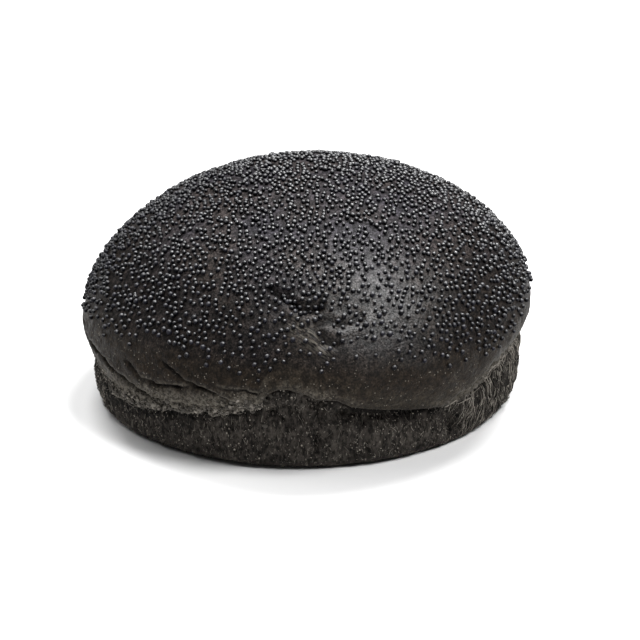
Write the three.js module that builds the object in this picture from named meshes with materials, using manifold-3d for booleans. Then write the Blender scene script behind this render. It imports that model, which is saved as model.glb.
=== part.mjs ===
// A whole, uncut black burger bun: a domed crown with a rolled rim that stands proud of a torn side wall,
// overlapping crust layers at the front left, and small round seeds baked into the top.
// Millimetres. +Z is up, -Y is the front, and the origin is the middle of the underside.
// A bearing is an angle round the vertical axis, in degrees: 0 is the front, 90 the right, -90 the left.
import * as THREE from "three";
import { mergeVertices } from "three/addons/utils/BufferGeometryUtils.js";
import Module from "manifold-3d";

// Driving dimensions of the crown
const CROWN = {
  radius: 53.4, // of the crust at its widest level
  widestLevel: 21.8,
  tilt: 2.5, // the widest level is this much higher on the right, and lower on the left
  top: 54.6, // height of the crust, without seeds
  lean: 1.1, // how far the top lies to the right of the crown's middle
  roundness: 1.89, // 2 would be an ellipsoid, less is a little flatter on the shoulders
  oval: 0.006, // the footprint is this much longer one way, and shorter the other
  longBearing: -46,
  rimTuck: 2.2, // how far the crust draws in between its widest level and its rim
  lipRadius: 1.5,
};

// Driving dimensions of the torn side wall under the crown
const WALL = {
  radius: 49.9,
  footRound: 4.2, // radius of the edge between wall and underside
  oval: 0.03,
  longBearing: 102.5,
  centre: [-0.4, 1.5], // the foot sits a little to the left and back of the crown's middle
  bulge: 0.5,
  grooveDepth: 2.6, // how far the wall draws in under the crown's lip
};

// The rim's mean height, and how much higher it runs on the right than on the left
const RIM_HEIGHT = 15.0;
const RIM_TILT = 2.5;

// Where the rim rises or sags: bearing, half width of the place in degrees, and rise in millimetres
const RIM_WAVES = [
  { bearing: -56, width: 11, rise: -2.2 },
  { bearing: -17, width: 6, rise: 1.8 },
  { bearing: 27, width: 8, rise: -0.8 },
  { bearing: 42, width: 9, rise: -3.2 },
  { bearing: 65, width: 9, rise: 1.0 },
  { bearing: 118, width: 16, rise: -1.5 },
  { bearing: 162, width: 14, rise: 1.6 },
  { bearing: -148, width: 15, rise: -1.4 },
  { bearing: -112, width: 12, rise: 1.1 },
];

// Where the crust draws in less towards its rim, as a share of the tuck, or more
const RIM_FLARES = [
  { bearing: -46, width: 17, rise: 0.65 },
  { bearing: 52, width: 18, rise: 0.4 },
  { bearing: -92, width: 14, rise: -0.4 },
];

// Where the side wall lies further in, and where its groove under the lip is deeper
const WALL_HOLLOWS = [
  { bearing: -92, width: 15, rise: 1.5 },
  { bearing: 74, width: 14, rise: 0.6 },
];
const UNDERCUTS = [
  { bearing: 4, width: 15, rise: 1.2 },
  { bearing: 50, width: 13, rise: 1.2 },
];

// The mouth at the front where the crust has lifted off the wall: steep on its left, gentle on its right
const MOUTH = { bearing: -5, left: 5.75, cliff: 6.5, right: 11, rise: 8.0 };

// Edges of crust layers that overlap like shingles, from one bearing and height to another.
// The lower layer is stepped in by the depth under the edge, and comes back out over the fade height.
const LAYERS = [
  { from: [-84, 20.4], to: [-30, 13.9], depth: 1.3, fade: 4.6 },
  { from: [-54, 22.7], to: [-36, 18.8], depth: 0.9, fade: 3.4 },
  { from: [-42, 25.1], to: [-18, 19.8], depth: 0.9, fade: 3.8 },
  { from: [-24, 22.7], to: [-7, 22.5], depth: 0.6, fade: 2.4 },
];

// Creases and hollows pressed into the dome: middle, half length, half width, turn from level and depth
const DENTS = [
  { bearing: -12, height: 42.0, long: 13, wide: 2.2, turn: -24, depth: 1.2 },
  { bearing: 4, height: 39.2, long: 11, wide: 3.6, turn: 8, depth: 1.3 },
  { bearing: 3, height: 34.4, long: 5, wide: 1.6, turn: -48, depth: 0.8 },
  { bearing: -48, height: 36, long: 14, wide: 7, turn: 0, depth: 0.7 },
  { bearing: 62, height: 33, long: 8, wide: 4, turn: 30, depth: 0.5 },
  { bearing: 150, height: 40, long: 14, wide: 6, turn: 20, depth: 0.8 },
];

// Seeds, true to size, as an even sample of those on the crust
const SEED = {
  count: 185,
  length: 1.25,
  width: 1.0,
  height: 0.95,
  sunk: 0.4, // share of its height below the crust
  wander: 0.7, // how far a seed may lie from its place in the even pattern
};

// The lowest seeds: their mean level, and how it rises at the front and sinks at the sides
const SEED_EDGE = { level: 25.6, front: 2.4, sides: -1.0 };

// How finely the body is faceted. The rows of the rim end at the same height all round.
const COLUMNS = 80;
const SHOULDER = 28;
const ROWS = { foot: 3, wall: 3, lip: 4, rim: 8, dome: 11 };

const GOLDEN_ANGLE = 180 * (3 - Math.sqrt(5));
const rad = (degrees) => (degrees * Math.PI) / 180;
const bell = (distance, width) => Math.exp(-0.5 * (distance / width) ** 2);
const smooth = (low, high, x) => THREE.MathUtils.smoothstep(x, low, high);
const clamp = (x) => THREE.MathUtils.clamp(x, 0, 1);

// The shortest way round from one bearing to another, from -180 to 180.
function turnBetween(bearing, other) {
  return THREE.MathUtils.euclideanModulo(bearing - other + 180, 360) - 180;
}

// How much a footprint is stretched at a bearing, with the slow unevenness of hand-shaped dough.
function footprint(bearing, { oval, longBearing }) {
  const stretch = oval * Math.cos(2 * rad(bearing - longBearing));
  const uneven = 0.005 * Math.sin(rad(3 * bearing + 40)) + 0.003 * Math.sin(rad(5 * bearing + 110));
  return 1 + stretch + uneven;
}

// The sum of some waves at a bearing.
function swelling(waves, bearing) {
  const rises = waves.map((wave) => wave.rise * bell(turnBetween(bearing, wave.bearing), wave.width));
  return rises.reduce((sum, rise) => sum + rise, 0);
}

// Height of the crown's rim at a bearing, as it would be if it hadn't lifted at the front.
function closedRim(bearing) {
  return RIM_HEIGHT + RIM_TILT * Math.sin(rad(bearing)) + swelling(RIM_WAVES, bearing);
}

// Height of the crown's rim at a bearing.
function rimHeight(bearing) {
  const past = turnBetween(bearing, MOUTH.bearing);
  const cliff = smooth(-MOUTH.left - MOUTH.cliff / 2, -MOUTH.left + MOUTH.cliff / 2, past);
  return closedRim(bearing) + MOUTH.rise * (past < 0 ? cliff : bell(past, MOUTH.right));
}

// How far the crust lies inside its smooth form because of the layers, at a bearing and height.
function layerStep(bearing, height) {
  let step = 0;
  for (const { from, to, depth, fade } of LAYERS) {
    const along = turnBetween(bearing, from[0]) / (to[0] - from[0]);
    const ends = smooth(0, 0.15, along) * (1 - smooth(0.85, 1, along));
    const edge = from[1] + (to[1] - from[1]) * along;
    const below = edge - height;
    if (below > 0 && below < fade) step += depth * ends * (1 - below / fade);
  }
  return step;
}

// How far the dents press the crust in, at a bearing and height.
function dentStep(bearing, height) {
  let step = 0;
  for (const dent of DENTS) {
    const across = rad(turnBetween(bearing, dent.bearing)) * CROWN.radius * 0.85;
    const rise = (height - dent.height) * 1.25;
    const turned = rad(dent.turn);
    const long = across * Math.cos(turned) + rise * Math.sin(turned);
    const wide = rise * Math.cos(turned) - across * Math.sin(turned);
    step += dent.depth * bell(long, dent.long / 2) * bell(wide, dent.wide);
  }
  return step;
}

// The height at which the crown is widest at a bearing.
const widestLevel = (bearing) => CROWN.widestLevel + CROWN.tilt * Math.sin(rad(bearing));

// A point of the crown at a bearing and height, from its distance from the axis before any unevenness.
function crownPoint(bearing, radius, height) {
  const share = radius / CROWN.radius;
  const inward = (layerStep(bearing, height) + dentStep(bearing, height)) * share;
  const r = radius * (1 + (footprint(bearing, CROWN) - 1) * share) - inward;
  return new THREE.Vector3(r * Math.sin(rad(bearing)), -r * Math.cos(rad(bearing)), height);
}

// How far the crust at a height lies from the axis before any unevenness.
function crustRadius(bearing, height) {
  const level = widestLevel(bearing);
  const lift = clamp((height - level) / (CROWN.top - level));
  const sunk = clamp((level - height) / (level - closedRim(bearing) - CROWN.lipRadius));
  const tuck = CROWN.rimTuck * (1 - swelling(RIM_FLARES, bearing));
  return CROWN.radius * Math.sqrt(1 - lift ** CROWN.roundness) - tuck * sunk ** 2;
}

// A point of the crust at a bearing and height. The crust leans more to the right towards the top.
function crustPoint(bearing, height) {
  const level = widestLevel(bearing);
  const point = crownPoint(bearing, crustRadius(bearing, height), height);
  point.x += CROWN.lean * clamp((height - level) / (CROWN.top - level));
  return point;
}

// A point of the dome at a bearing, from 0 at its widest level to 1 at its top.
function domePoint(bearing, climb) {
  const level = widestLevel(bearing);
  return crustPoint(bearing, level + (CROWN.top - level) * Math.sin((climb * Math.PI) / 2));
}

// A point of the crust between the rim, at 0, and the shoulder, at 1.
function rimPoint(bearing, climb) {
  const low = rimHeight(bearing) + CROWN.lipRadius;
  return crustPoint(bearing, low + (SHOULDER - low) * climb);
}

// A point of the rolled lip, from 0 at its inner end to 1 where the crust begins.
function lipPoint(bearing, climb) {
  const angle = rad(-150 + 150 * climb);
  const low = rimHeight(bearing) + CROWN.lipRadius;
  const radius = crustRadius(bearing, low) - CROWN.lipRadius * (1 - Math.cos(angle));
  return crownPoint(bearing, radius, low + CROWN.lipRadius * Math.sin(angle));
}

// A point of the side wall and foot, from its distance inside the wall's radius and its height.
function wallPoint(bearing, inset, height) {
  const r = WALL.radius * footprint(bearing, WALL) - swelling(WALL_HOLLOWS, bearing) - inset;
  const [x, y] = WALL.centre;
  return new THREE.Vector3(x + r * Math.sin(rad(bearing)), y - r * Math.cos(rad(bearing)), height);
}

// The rows of points that the body's skin runs through at a bearing, from the underside to the top.
function bodyRows(bearing) {
  const middle = new THREE.Vector3(...WALL.centre, 0);
  const rows = [middle, wallPoint(bearing, WALL.footRound + 22, 0)];
  for (let i = 0; i <= ROWS.foot; i++) {
    const angle = (i / ROWS.foot) * (Math.PI / 2);
    const inset = WALL.footRound * (1 - Math.sin(angle));
    rows.push(wallPoint(bearing, inset, WALL.footRound * (1 - Math.cos(angle))));
  }
  const groove = rimHeight(bearing) + CROWN.lipRadius * 0.5;
  const grooveDepth = WALL.grooveDepth + swelling(UNDERCUTS, bearing);
  for (let i = 1; i <= ROWS.wall; i++) {
    const climb = i / ROWS.wall;
    const bulge = WALL.bulge * Math.sin(climb * Math.PI);
    const inset = grooveDepth * climb ** 5 - bulge;
    rows.push(wallPoint(bearing, inset, WALL.footRound + (groove - WALL.footRound) * climb));
  }
  for (let i = 1; i < ROWS.lip; i++) rows.push(lipPoint(bearing, i / ROWS.lip));
  for (let i = 0; i < ROWS.rim; i++) rows.push(rimPoint(bearing, i / ROWS.rim));
  const level = widestLevel(bearing);
  const start = (Math.asin((SHOULDER - level) / (CROWN.top - level)) * 2) / Math.PI;
  for (let i = 0; i < ROWS.dome; i++) rows.push(domePoint(bearing, start + ((1 - start) * i) / ROWS.dome));
  rows.push(new THREE.Vector3(CROWN.lean, 0, CROWN.top));
  return rows;
}

// The body: a lathe of the right number of rows and columns, each of its points moved to its own place.
function bodyGeometry() {
  const rowCount = bodyRows(0).length;
  const profile = Array.from({ length: rowCount }, (_, row) => {
    const onAxis = row === 0 || row === rowCount - 1;
    return new THREE.Vector2(onAxis ? 0 : 1, row);
  });
  const lathe = new THREE.LatheGeometry(profile, COLUMNS);
  const place = lathe.getAttribute("position");
  for (let column = 0; column <= COLUMNS; column++) {
    const rows = bodyRows(((column % COLUMNS) / COLUMNS) * 360);
    rows.forEach((point, row) => place.setXYZ(column * rowCount + row, ...point));
  }
  return lathe;
}

// A geometry whose neighbouring faces share their corners.
function withSharedCorners(geometry) {
  const bare = geometry.clone();
  bare.deleteAttribute("normal");
  bare.deleteAttribute("uv");
  return mergeVertices(bare, 1e-4);
}

// A closed mesh as a solid that can be joined to others. Faces that closed up at a pole are dropped.
function solidOf(wasm, geometry) {
  const merged = withSharedCorners(geometry);
  const corners = merged.index.array;
  const kept = [];
  for (let i = 0; i < corners.length; i += 3) {
    const [a, b, c] = corners.subarray(i, i + 3);
    if (a !== b && b !== c && c !== a) kept.push(a, b, c);
  }
  const vertProperties = merged.getAttribute("position").array;
  return new wasm.Manifold(new wasm.Mesh({ numProp: 3, vertProperties, triVerts: new Uint32Array(kept) }));
}

// A solid as a geometry with flat faces.
function geometryOf(solid) {
  const { vertProperties, triVerts } = solid.getMesh();
  const geometry = new THREE.BufferGeometry();
  geometry.setAttribute("position", new THREE.BufferAttribute(vertProperties, 3));
  geometry.setIndex(new THREE.BufferAttribute(triVerts, 1));
  geometry.computeVertexNormals();
  return geometry;
}

// A seeded source of even random numbers from 0 to 1.
function seededRandom(seed) {
  let state = seed;
  return () => {
    state = (state + 0x6d2b79f5) | 0;
    let t = Math.imul(state ^ (state >>> 15), 1 | state);
    t = (t + Math.imul(t ^ (t >>> 7), 61 | t)) ^ t;
    return ((t ^ (t >>> 14)) >>> 0) / 4294967296;
  };
}

// The climb up the dome below which a share of its area lies.
function climbAtArea(share) {
  const steps = 400;
  const areas = [0];
  for (let i = 1; i <= steps; i++) {
    const [a, b] = [domePoint(0, (i - 1) / steps), domePoint(0, i / steps)];
    areas.push(areas[i - 1] + a.distanceTo(b) * Math.abs(a.y + b.y));
  }
  const found = areas.findIndex((area) => area >= share * areas[steps]);
  return found / steps;
}

// Where the seeds lie: the golden-angle pattern, which is even over the dome, with a small random wander.
function seedPlaces() {
  const random = seededRandom(7);
  const places = [];
  for (let i = 0; i < SEED.count; i++) {
    const climb = climbAtArea((i + 0.5) / SEED.count);
    const around = i * GOLDEN_ANGLE;
    const here = domePoint(around, climb);
    const reach = Math.max(6, Math.hypot(here.x, here.y));
    const bearing = around + ((random() - 0.5) * SEED.wander * 360) / (Math.PI * reach);
    const point = domePoint(bearing, climb);
    const spin = random() * Math.PI;
    const facing = rad(bearing);
    const front = Math.cos(facing) * SEED_EDGE.front;
    const sides = Math.sin(facing) ** 2 * SEED_EDGE.sides;
    if (point.z > SEED_EDGE.level + front + sides) places.push({ bearing, climb, point, spin });
  }
  return places;
}

// The direction that faces straight out of the dome at a bearing and climb.
function domeNormal(bearing, climb) {
  const [lower, upper] = [Math.max(0, climb - 0.01), Math.min(1, climb + 0.01)];
  const along = domePoint(bearing + 0.5, climb).sub(domePoint(bearing - 0.5, climb));
  const up = domePoint(bearing, upper).sub(domePoint(bearing, lower));
  return along.cross(up).normalize();
}

// A seed: a small rounded bean, lying on the crust with part of it sunk in.
function seedGeometry({ bearing, climb, point, spin }) {
  const seed = withSharedCorners(new THREE.IcosahedronGeometry(0.5, 0));
  seed.rotateX(0.55);
  seed.scale(SEED.length, SEED.width, SEED.height);
  seed.rotateZ(spin);
  const normal = domeNormal(bearing, climb);
  seed.applyQuaternion(new THREE.Quaternion().setFromUnitVectors(new THREE.Vector3(0, 0, 1), normal));
  const centre = point.clone().addScaledVector(normal, SEED.height * (0.5 - SEED.sunk));
  return seed.translate(...centre);
}

// The bun, one solid: its body with every seed fused to it.
async function bunMesh() {
  const wasm = await Module();
  wasm.setup();
  let bun = solidOf(wasm, bodyGeometry());
  for (const place of seedPlaces()) bun = bun.add(solidOf(wasm, seedGeometry(place)));
  const crust = new THREE.MeshStandardMaterial({ color: 0x2d2926, roughness: 0.6, metalness: 0 });
  const mesh = new THREE.Mesh(geometryOf(bun), crust);
  mesh.name = "bun";
  return mesh;
}

const burgerBun = new THREE.Group();
burgerBun.add(await bunMesh());

export default burgerBun;
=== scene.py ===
"""A whole black burger bun with poppy seeds: crown, torn side wall, seeds, flakes, strands and crumbs.

Sizes are in millimetres and angles in degrees until a mesh is filled, which is in metres. A bearing is an
angle round the vertical axis: 0 is the front (-Y), 90 the right side (+X) and -90 the left side.
"""

import itertools
import logging
import math
from dataclasses import dataclass
from enum import Enum
from typing import Callable

import bpy
import numpy as np
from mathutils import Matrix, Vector


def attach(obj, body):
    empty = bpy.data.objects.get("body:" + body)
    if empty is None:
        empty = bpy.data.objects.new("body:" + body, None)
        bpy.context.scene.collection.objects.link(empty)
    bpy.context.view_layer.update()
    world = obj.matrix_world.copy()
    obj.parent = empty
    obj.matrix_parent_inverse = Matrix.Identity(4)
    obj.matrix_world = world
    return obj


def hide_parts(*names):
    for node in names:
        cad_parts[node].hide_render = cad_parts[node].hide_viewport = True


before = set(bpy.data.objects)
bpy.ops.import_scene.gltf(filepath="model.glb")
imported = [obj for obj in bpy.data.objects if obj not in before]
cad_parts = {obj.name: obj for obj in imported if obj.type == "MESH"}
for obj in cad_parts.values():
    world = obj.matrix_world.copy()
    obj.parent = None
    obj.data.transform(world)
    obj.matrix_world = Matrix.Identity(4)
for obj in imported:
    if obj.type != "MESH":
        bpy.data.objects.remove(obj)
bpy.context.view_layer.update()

MM = 0.001
JOIN_WITHIN = 1e-7  # metres: points closer than this are one

# The noise's numbers: how a cell's place and the seed are scrambled, and how a slope is read from them
WORD = 0xFFFFFFFF
TEN_BITS = 1023
AXIS_PRIMES = (73856093, 19349663, 83492791)
SEED_PRIME = 40503
SCRAMBLES = ((15, 2246822519), (13, 3266489917))
SLOPE_BITS = (2, 11, 20)
SEED_SHIFT = 17.31  # cells between one seed's noise and the next
NOISE_GAIN = 1.6

Array = np.ndarray
Triple = tuple[float, float, float]
Socket = bpy.types.NodeSocket
Value = float | Socket
Colour = Triple | Socket

log = logging.getLogger("burger_bun")


class Slot(Enum):
    """Names of three finishes."""

    CRUST = "crust"
    TORN_SIDE = "torn_side"
    SEEDS = "seeds"


# Small helpers on angles, steps and noise


def sine(angle: Array) -> Array:
    """The sine of an angle in degrees."""
    return np.sin(np.radians(angle))


def cosine(angle: Array) -> Array:
    """The cosine of an angle in degrees."""
    return np.cos(np.radians(angle))


def turn_between(bearing: Array, other: float) -> Array:
    """The shortest way round from one bearing to another, from -180 to 180."""
    return (bearing - other + 180) % 360 - 180


def bell(distance: Array, width: float) -> Array:
    """One at no distance, and falling off smoothly over the width on each side."""
    return np.exp(-0.5 * (distance / width) ** 2)


def smooth(low: Array, high: Array, value: Array) -> Array:
    """Zero up to the low value, one from the high value on, and smooth between them."""
    share = np.clip((value - low) / (high - low), 0, 1)
    return share * share * (3 - 2 * share)


def around(bearing: Array, radius: Array, height: Array) -> Array:
    """Points at bearings, distances from the axis and heights."""
    return np.stack([radius * sine(bearing), -radius * cosine(bearing), height + 0 * bearing], axis=-1)


def all_round(columns: int) -> Array:
    """The bearings of a ring of columns, in one row."""
    return turn_between(np.arange(columns) * 360 / columns, 0)[None, :]


def bearing_of(points: Array) -> Array:
    """The bearing of each point, from -180 to 180."""
    return np.degrees(np.arctan2(points[..., 0], -points[..., 1]))


def dough_noise(points: Array, wave: float, seed: int) -> Array:
    """Smooth seeded noise, from about -1 to 1.

    Args:
        points: places, with x, y and z on the last axis.
        wave: the distance in which the noise swells and sinks about once.
        seed: picks one of many unlike noises.

    Returns:
        One value for each place.
    """
    scaled = points / wave + seed * SEED_SHIFT
    cell = np.floor(scaled).astype(np.int64)
    inside = scaled - cell
    ease = inside**3 * (inside * (inside * 6 - 15) + 10)
    total = np.zeros(points.shape[:-1])
    for corner in itertools.product((0, 1), repeat=3):
        mixed = np.bitwise_xor.reduce((cell + corner) * AXIS_PRIMES, axis=-1) ^ seed * SEED_PRIME
        for shift, factor in SCRAMBLES:
            mixed = mixed & WORD
            mixed = (mixed ^ (mixed >> shift)) * factor
        mixed = mixed & WORD
        slope = np.stack([(mixed >> bits & TEN_BITS) / (TEN_BITS / 2) - 1 for bits in SLOPE_BITS], axis=-1)
        weight = np.prod(np.where(corner, ease, 1 - ease), axis=-1)
        total += weight * np.sum(slope * (inside - corner), axis=-1)
    return total * NOISE_GAIN


def layered_noise(points: Array, wave: float, seed: int, layers: int = 3) -> Array:
    """Noise with finer and weaker noises added to it, each half the size of the last."""
    return sum(dough_noise(points, wave / 2**n, seed + n) / 2**n for n in range(layers))


def distance_to_path(points: Array, path: Array) -> Array:
    """How far each point lies from a path of straight stretches.

    Args:
        points: places, with x, y and z on the last axis.
        path: the path's corners, one row for each.

    Returns:
        One distance for each place.
    """
    nearest = np.full(points.shape[:-1], np.inf)
    for start, end in zip(path, path[1:]):
        stretch = end - start
        share = np.clip(np.sum((points - start) * stretch, axis=-1) / np.sum(stretch**2), 0, 1)
        nearest = np.minimum(nearest, np.linalg.norm(points - start - share[..., None] * stretch, axis=-1))
    return nearest


# The bun's form, which the solid has too


@dataclass(frozen=True)
class Wave:
    """A swelling round one bearing: its half width in degrees and its height."""

    bearing: float
    width: float
    rise: float


def swelling(waves: tuple[Wave, ...], bearing: Array) -> Array:
    """The sum of some waves at each bearing."""
    return sum(wave.rise * bell(turn_between(bearing, wave.bearing), wave.width) for wave in waves)


@dataclass(frozen=True)
class BunForm:
    """The form of the whole bun, before its fine relief.

    The crown is a dome that is widest at a tilted level. The unevenness of both footprints is given by
    share, lobes and start. The mouth is where the rim has lifted at the front.
    """

    radius: float = 53.4
    widest_level: float = 21.8
    tilt: float = 2.5
    top: float = 54.6
    lean: float = 1.1
    roundness: float = 1.89
    oval: float = 0.006
    long_bearing: float = -46
    unevenness: tuple[Triple, ...] = ((0.005, 3, 40), (0.003, 5, 110))
    rim_tuck: float = 2.2
    flares: tuple[Wave, ...] = (Wave(-46, 17, 0.65), Wave(52, 18, 0.4), Wave(-92, 14, -0.4))
    lip: float = 1.5
    wall_radius: float = 49.9
    foot_round: float = 4.2
    wall_oval: float = 0.03
    wall_long_bearing: float = 102.5
    wall_centre: tuple[float, float] = (-0.4, 1.5)
    hollows: tuple[Wave, ...] = (Wave(-92, 15, 1.5), Wave(74, 14, 0.6))
    bulge: float = 0.5
    groove: float = 2.6
    undercuts: tuple[Wave, ...] = (Wave(4, 15, 1.2), Wave(50, 13, 1.2))
    rim: float = 15.0
    rim_tilt: float = 2.5
    waves: tuple[Wave, ...] = (
        Wave(-56, 11, -2.2),
        Wave(-17, 6, 1.8),
        Wave(27, 8, -0.8),
        Wave(42, 9, -3.2),
        Wave(65, 9, 1.0),
        Wave(118, 16, -1.5),
        Wave(162, 14, 1.6),
        Wave(-148, 15, -1.4),
        Wave(-112, 12, 1.1),
    )
    mouth_bearings: tuple[float, ...] = (-19, -14, -12.0, -10.6, -7.8, -5, -1.4, 2.3, 7.3, 10.6, 15, 21, 27)
    mouth_rises: tuple[float, ...] = (0.3, 0.9, 1.9, 5.7, 7.6, 8.1, 7.3, 5.8, 4.9, 3.2, 1.8, 0.6, 0.0)

    def footprint(self, bearing: Array, oval: float, long_bearing: float) -> Array:
        """How much a footprint is stretched at a bearing, unevenly as hand-shaped dough is."""
        stretch = oval * np.cos(2 * np.radians(bearing - long_bearing))
        for share, lobes, start in self.unevenness:
            stretch = stretch + share * sine(lobes * bearing + start)
        return 1 + stretch

    def closed_rim(self, bearing: Array) -> Array:
        """Height of the crown's rim at a bearing, as if it hadn't lifted at the front."""
        return self.rim + self.rim_tilt * sine(bearing) + swelling(self.waves, bearing)

    def rim_height(self, bearing: Array) -> Array:
        """Height of the crown's rim at a bearing."""
        lifted = np.interp(bearing, self.mouth_bearings, self.mouth_rises, left=0, right=0)
        return self.closed_rim(bearing) + lifted

    def level(self, bearing: Array) -> Array:
        """The height at which the crown is widest at a bearing."""
        return self.widest_level + self.tilt * sine(bearing)

    def crust(self, bearing: Array, height: Array) -> Array:
        """Points of the crown's smooth crust.

        Args:
            bearing: the bearing of each point.
            height: its height, from the rim up to the top.

        Returns:
            The points, with x, y and z on the last axis.
        """
        level = self.level(bearing)
        low = self.closed_rim(bearing) + self.lip
        lift = np.clip((height - level) / (self.top - level), 0, 1)
        sunk = np.clip((level - height) / (level - low), 0, 1)
        tuck = self.rim_tuck * (1 - swelling(self.flares, bearing))
        radius = self.radius * np.sqrt(1 - lift**self.roundness) - tuck * sunk**2
        share = radius / self.radius
        stretch = self.footprint(bearing, self.oval, self.long_bearing) - 1
        points = around(bearing, radius * (1 + stretch * share), height)
        points[..., 0] += self.lean * lift
        return points

    def wall(self, bearing: Array, height: Array, inset: Array | float = 0) -> Array:
        """Points of the smooth side wall.

        Args:
            bearing: the bearing of each point.
            height: its height.
            inset: how far inside the wall's radius it lies.

        Returns:
            The points, with x, y and z on the last axis.
        """
        radius = self.wall_radius * self.footprint(bearing, self.wall_oval, self.wall_long_bearing)
        points = around(bearing, radius - swelling(self.hollows, bearing) - inset, height)
        points[..., :2] += self.wall_centre
        return points


# Making meshes


def deselect_all() -> None:
    """Leaves nothing selected and nothing in edit mode."""
    bpy.ops.object.select_all(action="DESELECT")


def grid_normals(grid: Array) -> Array:
    """The outward direction at each point of a grid of rows, from the bottom up, that closes on itself.

    Args:
        grid: points, by row and then by column, with the columns running anticlockwise seen from above.

    Returns:
        One unit vector for each point.
    """
    along = np.roll(grid, -1, axis=1) - np.roll(grid, 1, axis=1)
    up = np.gradient(grid, axis=0)
    normals = np.cross(along, up)
    return normals / np.maximum(np.linalg.norm(normals, axis=-1, keepdims=True), 1e-9)


def triples(items: bpy.types.bpy_prop_collection, name: str, kind: type = float) -> Array:
    """Reads three numbers for each item of a mesh, in one row for each."""
    values = np.empty(len(items) * 3, dtype=kind)
    items.foreach_get(name, values)
    return values.reshape(-1, 3)


def add_mask(mesh: bpy.types.Mesh, name: str, values: Array) -> None:
    """Gives each point of a mesh its value of a mask for the finish."""
    mesh.attributes.new(name, "FLOAT", "POINT").data.foreach_set("value", values.astype(np.float32))


def shell_from_grid(name: str, grid: Array, masks: dict[str, Array]) -> bpy.types.Object:
    """Wraps a sheet of faces round the upright axis, moves its points to their places and closes it.

    Args:
        name: the piece's name.
        grid: the places in millimetres. The first and last rows are poles, each with one place repeated.
        masks: values between 0 and 1 for the finish, by name, each a grid of the same rows and columns.

    Returns:
        The new piece.
    """
    rows, columns = grid.shape[0] - 1, grid.shape[1]
    bpy.ops.mesh.primitive_grid_add(x_subdivisions=columns, y_subdivisions=rows, size=2)
    piece = bpy.context.object
    piece.name = piece.data.name = name
    sheet = (triples(piece.data.vertices, "co") + 1) / 2
    column = np.rint(sheet[:, 0] * columns).astype(int) % columns
    row = np.rint(sheet[:, 1] * rows).astype(int)
    piece.data.vertices.foreach_set("co", (grid[row, column] * MM).ravel())
    for mask_name, mask in masks.items():
        add_mask(piece.data, mask_name, mask[row, column])
    piece.data.update()
    bpy.ops.object.mode_set(mode="EDIT")
    bpy.ops.mesh.select_all(action="SELECT")
    bpy.ops.mesh.remove_doubles(threshold=JOIN_WITHIN)
    bpy.ops.object.mode_set(mode="OBJECT")
    bpy.ops.object.shade_smooth()
    deselect_all()
    return piece


@dataclass(frozen=True)
class Stencil:
    """The points and faces of a small thing that is made once and copied many times."""

    points: Array
    faces: tuple[tuple[int, ...], ...]

    @classmethod
    def ball(cls, segments: int, rings: int, size: Triple) -> "Stencil":
        """Makes a ball with few faces.

        Args:
            segments: how many faces it has round its middle.
            rings: how many from pole to pole.
            size: its length, width and thickness in millimetres.

        Returns:
            The stencil.
        """
        bpy.ops.mesh.primitive_uv_sphere_add(segments=segments, ring_count=rings, radius=0.5 * MM)
        bpy.ops.transform.resize(value=size)
        bpy.ops.object.transform_apply(scale=True)
        thing = bpy.context.object
        mesh = thing.data
        points = triples(mesh.vertices, "co") / MM
        # Blender may give the faces in another order at each run, so they are put in order here
        faces = tuple(sorted(tuple(face.vertices) for face in mesh.polygons))
        bpy.data.objects.remove(thing)
        bpy.data.meshes.remove(mesh)
        return cls(points, faces)


def joined_copies(name: str, stencil: Stencil, copies: Array, **masks: Array) -> bpy.types.Object:
    """Joins many copies of a small thing in one mesh.

    Args:
        name: the piece's name.
        stencil: the small thing.
        copies: for each copy, where the stencil's points lie, in millimetres.
        masks: values between 0 and 1 for the finish, by name, for each copy or each point of each copy.

    Returns:
        The new piece.
    """
    count, size = len(copies), len(stencil.points)
    starts = range(0, count * size, size)
    faces = [tuple(start + corner for corner in face) for start in starts for face in stencil.faces]
    mesh = bpy.data.meshes.new(name)
    mesh.from_pydata((copies.reshape(-1, 3) * MM).tolist(), [], faces)
    for mask_name, mask in masks.items():
        add_mask(mesh, mask_name, np.broadcast_to(mask.reshape(count, -1), (count, size)).ravel())
    mesh.shade_smooth()
    piece = bpy.data.objects.new(name, mesh)
    bpy.context.collection.objects.link(piece)
    return piece


def strewn_places(
    piece: bpy.types.Object, count: int, rng: np.random.Generator, thickness: Callable[[Array], Array]
) -> tuple[Array, Array]:
    """Picks random places on a piece's surface.

    Args:
        piece: the piece.
        count: how many places.
        rng: the random source.
        thickness: how thickly things lie, for an array of places. Zero leaves a place empty.

    Returns:
        The places in millimetres, and the outward directions there.
    """
    mesh = piece.data
    mesh.calc_loop_triangles()
    corners = triples(mesh.loop_triangles, "vertices", np.int32)
    places = triples(mesh.vertices, "co") / MM
    outward = triples(mesh.vertices, "normal")
    sides = places[corners]
    area = np.linalg.norm(np.cross(sides[:, 1] - sides[:, 0], sides[:, 2] - sides[:, 0]), axis=1)
    share = area * thickness(sides.mean(axis=1))
    chosen = corners[rng.choice(len(corners), count, p=share / share.sum())]
    parts = rng.dirichlet((1, 1, 1), count)
    points = np.einsum("nk,nkx->nx", parts, places[chosen])
    normals = np.einsum("nk,nkx->nx", parts, outward[chosen])
    return points, normals / np.linalg.norm(normals, axis=1, keepdims=True)


def settled_axes(normals: Array, spins: Array) -> Array:
    """For each copy, three axes: along, across and straight out of the surface.

    Args:
        normals: the surface's outward directions.
        spins: how far each copy is turned about them, in radians.

    Returns:
        For each copy a matrix whose rows are the three axes.
    """
    level = np.cross([0.0, 0.0, 1.0], normals) + [1e-6, 0, 0]
    level /= np.linalg.norm(level, axis=1, keepdims=True)
    rising = np.cross(normals, level)
    cos, sin = np.cos(spins)[:, None], np.sin(spins)[:, None]
    return np.stack([cos * level + sin * rising, cos * rising - sin * level, normals], axis=1)


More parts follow.
